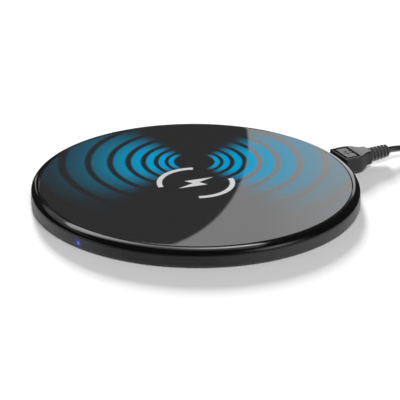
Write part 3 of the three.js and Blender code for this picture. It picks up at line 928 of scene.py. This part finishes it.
def cord_jacket():
    look = Finish("cord jacket", IOR=1.8)
    grain = look.noise(3000, 2, 0.5)
    look.shade(look.noise(500, 3), (0.012, 0.012, 0.013), (0.022, 0.022, 0.023))
    look.feed("Roughness", grain * 0.06 + 0.1)
    look.relief(grain, 0.01 * MM, 0.15)
    return look.material


def ribbed_rubber():
    look = Finish("ribbed rubber", IOR=1.5)
    grain = look.noise(3000, 2, 0.5)
    look.shade(look.noise(500, 3), (0.085, 0.085, 0.087), (0.11, 0.11, 0.112))
    look.feed("Roughness", grain * 0.1 + 0.24)
    look.relief(grain, 0.015 * MM, 0.3)
    return look.material


def foot_rubber():
    look = Finish("foot rubber", IOR=1.45)
    grain = look.cells(2600)
    look.shade(look.noise(700, 3), (0.012, 0.012, 0.012), (0.026, 0.026, 0.026))
    look.feed("Roughness", look.noise(900, 2) * 0.15 + 0.72)
    look.relief(grain, 0.02 * MM, 0.5)
    return look.material


def silver_ink():
    look = Finish("silver ink", Metallic=0.25, IOR=1.5)
    flake = look.cells(9000)
    look.shade(flake, (0.4, 0.4, 0.41), (0.52, 0.52, 0.53))
    look.feed("Roughness", flake * 0.2 + 0.3)
    return look.material


def nickel():
    look = Finish("nickel plate", Metallic=1.0)
    brushed = look.noise(700, 3, 0.6, stretch=(1, 0.08, 1))
    look.shade(brushed, (0.5, 0.5, 0.51), (0.62, 0.62, 0.63))
    look.feed("Roughness", brushed * 0.16 + 0.2)
    look.relief(brushed, 0.002 * MM, 0.15)
    return look.material


def gold_contact():
    look = Finish("gold contact", Metallic=1.0)
    worn = look.noise(900, 3)
    look.shade(worn, (0.78, 0.52, 0.16), (0.9, 0.66, 0.26))
    look.feed("Roughness", worn * 0.2 + 0.15)
    return look.material


def nylon():
    look = Finish("contact block", IOR=1.5)
    grain = look.noise(2500, 3)
    look.shade(grain, (0.01, 0.01, 0.011), (0.022, 0.022, 0.023))
    look.feed("Roughness", grain * 0.15 + 0.4)
    look.relief(grain, 0.01 * MM, 0.4)
    return look.material


def woven_strap():
    look = Finish("woven strap", IOR=1.4)
    x, y, z = look.axes()
    warp = abs(((x + y) * 1600).part() - 0.5) * 2
    weft = abs(((x - y + z) * 1600).part() - 0.5) * 2
    weave = warp * weft
    look.shade(weave, (0.008, 0.008, 0.009), (0.04, 0.04, 0.042))
    look.feed("Roughness", weave * 0.1 + 0.8)
    look.relief(weave, 0.12 * MM, 0.8)
    return look.material


def solder_mask():
    look = Finish("solder mask", IOR=1.5)
    x, y, _ = look.axes()
    tracks = abs(((x + y * 0.35) * 900).part() - 0.5) * 2
    islands = (look.noise(260, 2) * 6 - 2.8).capped()
    copper_under = ((tracks - 0.55) * 8).capped() * islands
    look.shade(copper_under, (0.008, 0.075, 0.035), (0.03, 0.16, 0.06))
    look.feed("Roughness", copper_under * 0.1 + 0.25)
    look.relief(copper_under, 0.03 * MM, 0.6)
    return look.material


def enamelled_copper():
    look = Finish("enamelled copper", Metallic=1.0)
    strands = look.noise(2400, 2, 0.5, stretch=(1, 1, 3))
    look.shade(strands, (0.5, 0.16, 0.06), (0.8, 0.36, 0.18))
    look.feed("Roughness", strands * 0.2 + 0.22)
    look.relief(strands, 0.03 * MM, 0.6)
    return look.material


def sintered_ferrite():
    look = Finish("sintered ferrite", IOR=1.6)
    grain = look.cells(1500)
    look.shade(grain, (0.03, 0.029, 0.031), (0.075, 0.072, 0.075))
    look.feed("Roughness", grain * 0.2 + 0.5)
    look.relief(grain, 0.02 * MM, 0.5)
    return look.material


def moulded_epoxy():
    look = Finish("moulded epoxy", IOR=1.5)
    grain = look.noise(6000, 3)
    look.shade(grain, (0.008, 0.008, 0.009), (0.02, 0.02, 0.021))
    look.feed("Roughness", grain * 0.2 + 0.45)
    look.relief(grain, 0.01 * MM, 0.5)
    return look.material


def fired_ceramic():
    look = Finish("fired ceramic", IOR=1.6)
    grain = look.noise(2200, 3)
    look.shade(grain, (0.2, 0.12, 0.05), (0.36, 0.24, 0.12))
    look.feed("Roughness", grain * 0.15 + 0.35)
    look.relief(grain, 0.01 * MM, 0.3)
    return look.material


def adhesive_film():
    look = Finish("adhesive film", IOR=1.45)
    wrinkle = look.noise(300, 3, 0.5)
    look.shade(wrinkle, (0.012, 0.012, 0.012), (0.03, 0.03, 0.03))
    look.feed("Roughness", wrinkle * 0.2 + 0.5)
    look.relief(wrinkle, 0.02 * MM, 0.4)
    return look.material


def lit_blue(name, glow):
    look = Finish(name, Emission_Strength=glow, Roughness=0.3, IOR=1.5)
    cloudy = look.noise(1200, 2)
    look.shade(cloudy, (0.05, 0.06, 0.5), (0.1, 0.12, 0.7))
    look.feed("Emission Color", look.blend(cloudy, color(0.08, 0.08, 0.62), color(0.14, 0.15, 0.75)))
    return look.material


def wear(material, *worn_by):
    for piece in worn_by:
        piece.data.materials.clear()
        piece.data.materials.append(material)


steel, copper, black_nylon, epoxy = nickel(), enamelled_copper(), nylon(), moulded_epoxy()
film, ribbed = adhesive_film(), ribbed_rubber()
wear(printed_plate(), plate)
wear(piano_black(), ring)
wear(spark_texture(), tray)
wear(foot_rubber(), *feet)
wear(silver_ink(), *marks)
wear(satin_moulding("small grip moulding", GRIP_HIGH.z - 0.5 * MM), small_grip)
wear(satin_moulding("large grip moulding", high("usb_plug_grip").z - 1.2 * MM), large_grip)
wear(cord_jacket(), lead)
wear(ribbed, small_sleeve, large_sleeve)
wear(woven_strap(), tie)
wear(steel, node("port_shell"), node("micro_plug_shell"), node("usb_plug_shell"))
wear(steel, *(node(f"case_screw_{i}") for i in range(1, 5)))
wear(black_nylon, node("port_tongue"), node("micro_plug_insert"), node("usb_plug_tongue"))
wear(gold_contact(), *(node(f"usb_contact_{i}") for i in range(1, 5)))
wear(copper, node("charging_coil"), node("coil_lead_inner"), node("coil_lead_outer"))
wear(solder_mask(), node("circuit_board"))
wear(sintered_ferrite(), node("ferrite_shield"))
wear(film, node("coil_film"), node("plate_tape"))
wear(epoxy, node("controller_chip"), node("bridge_chip_1"), node("bridge_chip_2"), node("input_choke"))
wear(fired_ceramic(), *(node(f"resonance_capacitor_{i}") for i in range(1, 5)))
wear(lit_blue("light pipe", 1.0), node("status_light_pipe"))
wear(lit_blue("lit lamp", 2.0), node("status_lamp"))

# ---------------------------------------------------------------- studio

AMBIENT = 0.22  # even light from all round
DIM = 0.04  # what polished faces mirror where no light is
FLOOR_SIZE = 8
PANEL_AWAY = 0.8  # distance of the panel that the plate mirrors
PANEL_LEFT, PANEL_RIGHT = -0.12, 0.105
PANEL_LOW, PANEL_HIGH = 0.2, 0.46
PANEL_LEVEL, PANEL_LIFT = 1.28, 0.55  # how bright it is, and how much brighter on the right and low down
FLAG_RIGHT, FLAG_UP, FLAG_RADIUS = -0.038, 0.3216, 0.0663  # the panel's round dark corner


def studio_point(right, away, up):
    """A place in the studio, seen from the camera's side."""
    return view_right * right + view_away * away + Vector((0, 0, up))


def add_floor():
    bpy.ops.mesh.primitive_plane_add(size=FLOOR_SIZE)
    floor = named("floor")
    paper = Finish("pale floor", Base_Color=color(0.8, 0.8, 0.8), Roughness=1.0, Specular_IOR_Level=0.0)
    floor.data.materials.append(paper.material)
    floor.visible_glossy = False


class Room(Nodes):
    """What polished faces mirror, as a brightness for each direction seen from the camera's side."""

    def __init__(self, tree):
        super().__init__(tree)
        east, north, self.up = self.axes("Generated")
        self.right = east * view_right.x + north * view_right.y
        self.away = east * view_away.x + north * view_away.y
        ahead = self.away.at_least(0.02)
        self.across, self.rise = self.right / ahead, self.up / ahead

    def lobe(self, right, away, up, narrow):
        """A round glow in one direction."""
        return (self.right * right + self.away * away + self.up * up).at_least(0) ** narrow

    def left_edge(self):
        return self.up - self.away * 0.57 + self.right * 0.7

    def ceiling(self):
        """A wide light overhead, brightest high on the left, with a small glow in its middle."""
        high_left = self.right.before(-0.11, 0.12) * self.up.before(0.825, 0.15)
        level = high_left * 4.2 + self.lobe(0.117, 0.595, 0.795, 90) * 10 + 1
        right_edge = self.up - self.away * 0.69 - self.right * 2.22
        inside = self.left_edge().past(0.02, 0.04) * right_edge.past(0.02, 0.05)
        return level * inside * (self.away + self.right * 0.5).past(0.08, 0.1)

    def left_glow(self):
        """A dim light left of the ceiling light's edge."""
        past_edge = self.left_edge().before(0.02, 0.04) * self.right.before(-0.17, 0.05)
        return past_edge * (self.up - self.away * 0.6).past(0, 0.05) * self.up.past(0.48, 0.06) * 0.7

    def window(self):
        """An upright light ahead, on the right."""
        tall = self.rise.past(-0.2, 0.05) * self.rise.before(0.46, 0.03)
        return self.across.between(0.06, 0.27, 0.03) * tall * self.away.past(0.3, 0.1) * 2.3

    def strip(self):
        """A narrow upright light ahead, on the left."""
        lit = self.across.between(-0.36, -0.3, 0.02) * self.rise.between(0.1, 0.45, 0.05)
        return lit * self.away.past(0.3, 0.1) * 1.4

    def table(self):
        """The floor, which is brightest ahead."""
        level = (self.away + self.right * 0.25).past(-0.5, 0.6) * 1.3 + 0.3
        return (-1 * self.up).past(0.3, 0.1) * level

    def near_glow(self):
        """A soft glow behind the camera on the right, which gives the cord its light line."""
        return self.lobe(0.785, -0.497, 0.394, 30) * 2.5


def add_surround():
    """Even light for matt faces. Polished faces mirror the room."""
    world = bpy.data.worlds.new("studio surround")
    bpy.context.scene.world = world
    world.use_nodes = True
    world.node_tree.nodes.clear()
    room = Room(world.node_tree)
    level = room.ceiling() + room.left_glow() + room.window() + room.strip() + room.table()
    level = level + room.near_glow() + DIM
    mirrored = room.node("ShaderNodeBackground", {}, {"Strength": level})
    matt = room.node("ShaderNodeBackground", {}, {"Strength": AMBIENT})
    path = room.node("ShaderNodeLightPath", {}, {})
    inputs = {0: path.outputs["Is Diffuse Ray"], 1: mirrored.outputs[0], 2: matt.outputs[0]}
    either = room.node("ShaderNodeMixShader", {}, inputs)
    room.node("ShaderNodeOutputWorld", {}, {"Surface": either.outputs[0]})


def add_soft_sun(name, strength, elevation, bearing, softness):
    """A soft light from far away. Its bearing is counted from straight behind the pad, to the left."""
    bpy.ops.object.light_add(type="SUN")
    sun = bpy.context.object
    sun.name = name
    sun.data.energy = strength
    sun.data.angle = math.radians(softness)
    turn, rise = math.radians(bearing), math.radians(elevation)
    level = view_away * math.cos(turn) - view_right * math.sin(turn)
    towards = level * math.cos(rise) + Vector((0, 0, math.sin(rise)))
    sun.rotation_euler = towards.to_track_quat("Z", "Y").to_euler()
    sun.visible_glossy = False


def add_plate_panel():
    """A light panel with a round dark corner, which the plate mirrors."""
    middle_right, middle_up = (PANEL_LEFT + PANEL_RIGHT) / 2, (PANEL_LOW + PANEL_HIGH) / 2
    bpy.ops.mesh.primitive_plane_add(size=1)
    panel = named("plate_panel")
    panel.scale = (PANEL_RIGHT - PANEL_LEFT, PANEL_HIGH - PANEL_LOW, 1)
    place_in_mesh(panel)
    panel.location = studio_point(middle_right, PANEL_AWAY, middle_up)
    panel.rotation_euler = Matrix((view_right, Vector((0, 0, 1)), -view_away)).transposed().to_euler()
    glow = Finish("plate panel", Base_Color=color(0, 0, 0), Specular_IOR_Level=0.0, Emission_Strength=1.0)
    x, y, _ = glow.axes()
    from_flag = ((x + (middle_right - FLAG_RIGHT)) ** 2 + (y + (middle_up - FLAG_UP)) ** 2) ** 0.5
    on_right = ((x + (middle_right - 0.035)) / 0.06).capped()
    low_down = ((0.345 - middle_up - y) / 0.035).capped()
    bright = (on_right + low_down * 0.3).capped()
    level = (bright * PANEL_LIFT + PANEL_LEVEL) * from_flag.past(FLAG_RADIUS, 0.002)
    grey = glow.node("ShaderNodeCombineXYZ", {}, {0: level, 1: level, 2: level})
    glow.feed("Emission Color", grey.outputs[0])
    panel.data.materials.append(glow.material)
    panel.visible_camera = False
    panel.visible_diffuse = False
    panel.visible_shadow = False
    panel.visible_transmission = False


add_floor()
add_surround()
add_soft_sun("key_light", strength=8, elevation=16.3, bearing=6.5, softness=12)
add_soft_sun("fill_light", strength=1.75, elevation=65, bearing=200, softness=40)
add_plate_panel()

bpy.context.scene.view_settings.view_transform = "Standard"
